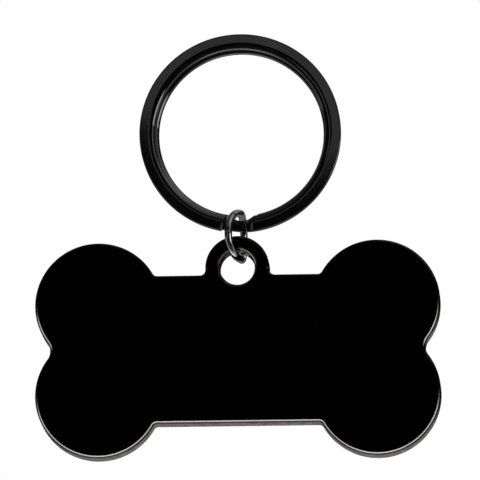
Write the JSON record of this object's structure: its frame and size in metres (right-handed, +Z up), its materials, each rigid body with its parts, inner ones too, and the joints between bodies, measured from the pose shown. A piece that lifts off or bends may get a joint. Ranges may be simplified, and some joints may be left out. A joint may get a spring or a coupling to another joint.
{
  "type": "pet id tag",
  "caption": "Bone-shaped pet tag with a lug, hung by a round jump ring from a split ring that threads onto a collar.",
  "frame": {"origin": "inside of the split ring at its top, at mid-thickness, where a collar's loop carries it", "axes": "+Z up, against the pull of the hanging tag; -Y out of the front face of the plate; +X to the right as seen from the front"},
  "size_m": [0.05, 0.0067, 0.0532],
  "materials": {
    "black_nickel_wire": "black nickel plated steel wire, polished",
    "gunmetal_wire": "gunmetal plated steel wire, polished",
    "black_mirror_plate": "black plated zinc alloy, mirror polished, with bright bevels"
  },
  "bodies": {
    "split_ring": {"split_ring": "black_nickel_wire"},
    "jump_ring": {"jump_ring": "gunmetal_wire"},
    "bone_plate": {"bone_plate": "black_mirror_plate"}
  },
  "joints": [
    {"name": "jump_ring_swing", "type": "hinge", "parent": "split_ring", "child": "jump_ring", "pos_m": [0, 0, -0.02185], "axis": [1, 0, 0], "range_deg": [-115, 115]},
    {"name": "plate_swing", "type": "hinge", "parent": "jump_ring", "child": "bone_plate", "pos_m": [-0.0004, 0, -0.02724], "axis": [0, 1, 0], "range_deg": [-30, 30]}
  ]
}
